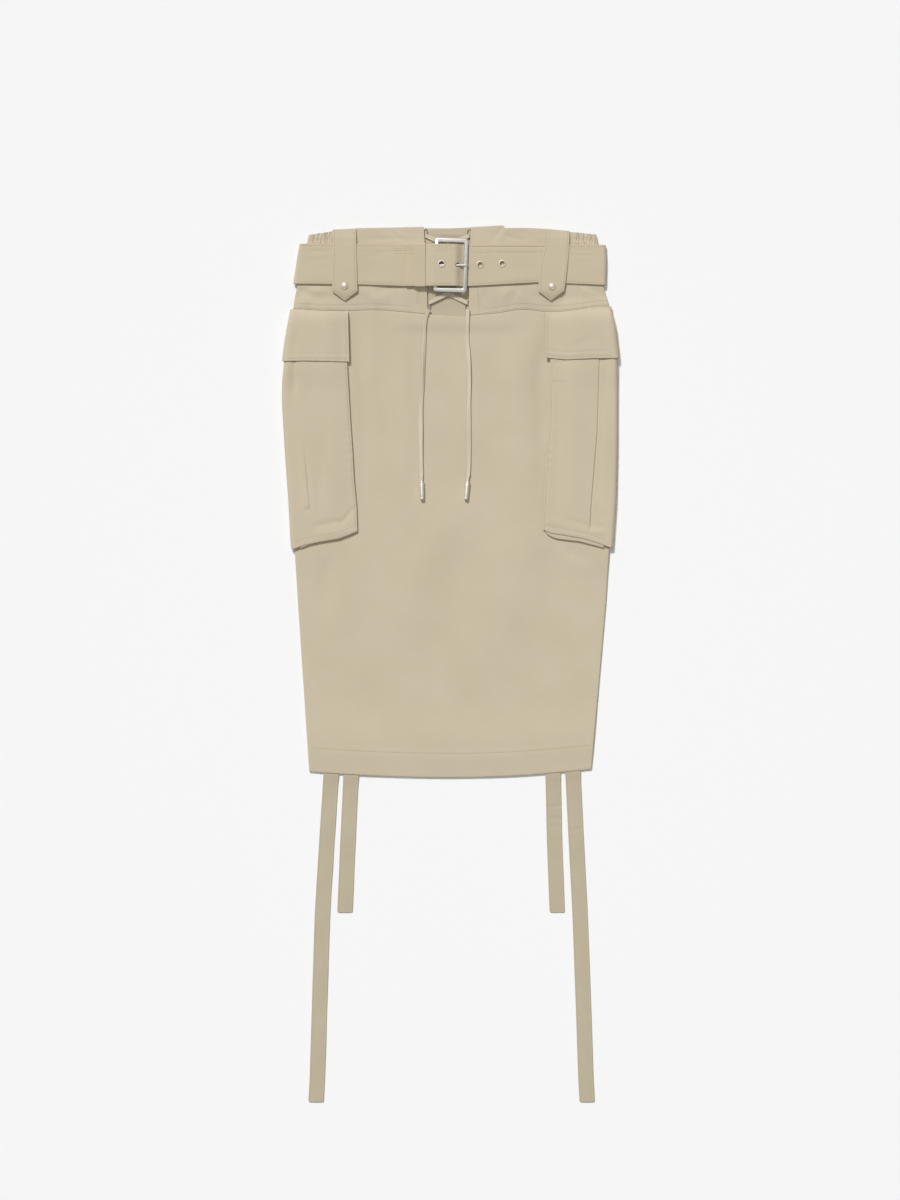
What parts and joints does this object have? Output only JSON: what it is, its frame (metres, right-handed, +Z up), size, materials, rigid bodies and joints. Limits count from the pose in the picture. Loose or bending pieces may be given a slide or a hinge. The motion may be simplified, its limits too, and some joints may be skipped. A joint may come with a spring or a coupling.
{
  "type": "cargo skirt",
  "caption": "Midi skirt laid flat, with a laced yoke, a buckled belt, two wrapped cargo pockets and tapes hanging from the hem.",
  "frame": {"origin": "on the surface that the skirt lies on, under the middle of its whole length and width", "axes": "+X to the right as the front is seen, +Y from the hem to the waist, +Z up from the surface"},
  "size_m": [0.4374, 1.1372, 0.019],
  "materials": {
    "shell": "sand twill",
    "belting": "sand twill, doubled and topstitched",
    "tape": "sand twill tape",
    "lace": "flat cotton lace",
    "buckle": "brushed",
    "trim": "pale, satin"
  },
  "bodies": {
    "root": {"back_panel": "shell", "back_yoke": "shell", "belt_eyelet_1": "trim", "belt_eyelet_2": "trim", "belt_eyelet_3": "trim", "belt_keeper": "belting", "belt_loop_left": "belting", "belt_loop_right": "belting", "belt_strap": "belting", "buckle_frame": "buckle", "buckle_prong": "buckle", "front_panel": "shell", "front_yoke_left": "shell", "front_yoke_right": "shell", "hem_strap_left_long": "tape", "hem_strap_left_short": "tape", "hem_strap_right_long": "tape", "hem_strap_right_short": "tape", "lace_end_left": "lace", "lace_end_right": "lace", "lace_strand_1": "lace", "lace_strand_2": "lace", "lace_strand_3": "lace", "lace_strand_4": "lace", "lace_strand_5": "lace", "lace_strand_6": "lace", "lace_tip_left": "trim", "lace_tip_right": "trim", "lacing_ring_left_1": "trim", "lacing_ring_left_2": "trim", "lacing_ring_left_3": "trim", "lacing_ring_left_4": "trim", "lacing_ring_right_1": "trim", "lacing_ring_right_2": "trim", "lacing_ring_right_3": "trim", "lacing_ring_right_4": "trim", "lacing_underlap": "shell", "pocket_flap_left": "shell", "pocket_flap_right": "shell", "pocket_front_left": "shell", "pocket_front_right": "shell", "pocket_gusset_left": "shell", "pocket_gusset_right": "shell", "snap_left": "trim", "snap_right": "trim"}
  },
  "joints": []
}
